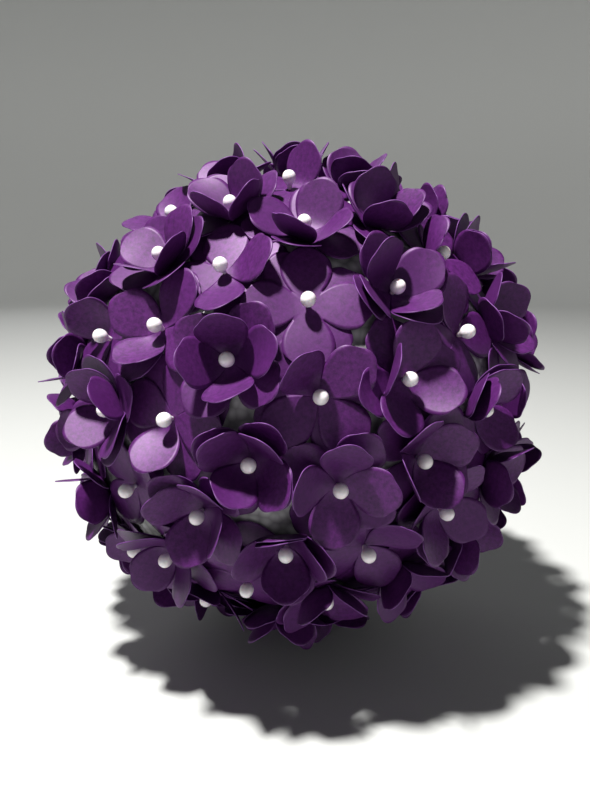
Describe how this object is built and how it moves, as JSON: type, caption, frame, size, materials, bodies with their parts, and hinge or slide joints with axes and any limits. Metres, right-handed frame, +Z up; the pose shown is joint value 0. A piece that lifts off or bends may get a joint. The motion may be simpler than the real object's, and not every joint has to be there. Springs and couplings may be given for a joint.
{
  "type": "paper flower ball",
  "caption": "Round foam ball covered all over with cupped purple card flowers, each pinned through its middle with a white pearl-head pin.",
  "frame": {"origin": "on the surface that the ball stands on, under the middle of the whole ball", "axes": "+Z up through the top flower; -Y is the front, and row longitudes count from it"},
  "size_m": [0.1814, 0.1812, 0.1806],
  "materials": {
    "purple_card": "matte",
    "pearl_plastic": "satin",
    "pin_steel": "polished",
    "foam": "matte"
  },
  "bodies": {
    "root": {"foam_ball": "foam", "row_01_under_petals": "purple_card", "row_01_upper_petals": "purple_card", "row_01_pin_shanks": "pin_steel", "row_01_pearl_heads": "pearl_plastic", "row_02_under_petals": "purple_card", "row_02_upper_petals": "purple_card", "row_02_pin_shanks": "pin_steel", "row_02_pearl_heads": "pearl_plastic", "row_03_under_petals": "purple_card", "row_03_upper_petals": "purple_card", "row_03_pin_shanks": "pin_steel", "row_03_pearl_heads": "pearl_plastic", "row_04_under_petals": "purple_card", "row_04_upper_petals": "purple_card", "row_04_pin_shanks": "pin_steel", "row_04_pearl_heads": "pearl_plastic", "row_05_under_petals": "purple_card", "row_05_upper_petals": "purple_card", "row_05_pin_shanks": "pin_steel", "row_05_pearl_heads": "pearl_plastic", "row_06_under_petals": "purple_card", "row_06_upper_petals": "purple_card", "row_06_pin_shanks": "pin_steel", "row_06_pearl_heads": "pearl_plastic", "row_07_under_petals": "purple_card", "row_07_upper_petals": "purple_card", "row_07_pin_shanks": "pin_steel", "row_07_pearl_heads": "pearl_plastic", "row_08_under_petals": "purple_card", "row_08_upper_petals": "purple_card", "row_08_pin_shanks": "pin_steel", "row_08_pearl_heads": "pearl_plastic", "row_09_under_petals": "purple_card", "row_09_upper_petals": "purple_card", "row_09_pin_shanks": "pin_steel", "row_09_pearl_heads": "pearl_plastic", "row_10_under_petals": "purple_card", "row_10_upper_petals": "purple_card", "row_10_pin_shanks": "pin_steel", "row_10_pearl_heads": "pearl_plastic", "row_11_under_petals": "purple_card", "row_11_upper_petals": "purple_card", "row_11_pin_shanks": "pin_steel", "row_11_pearl_heads": "pearl_plastic"}
  },
  "joints": []
}
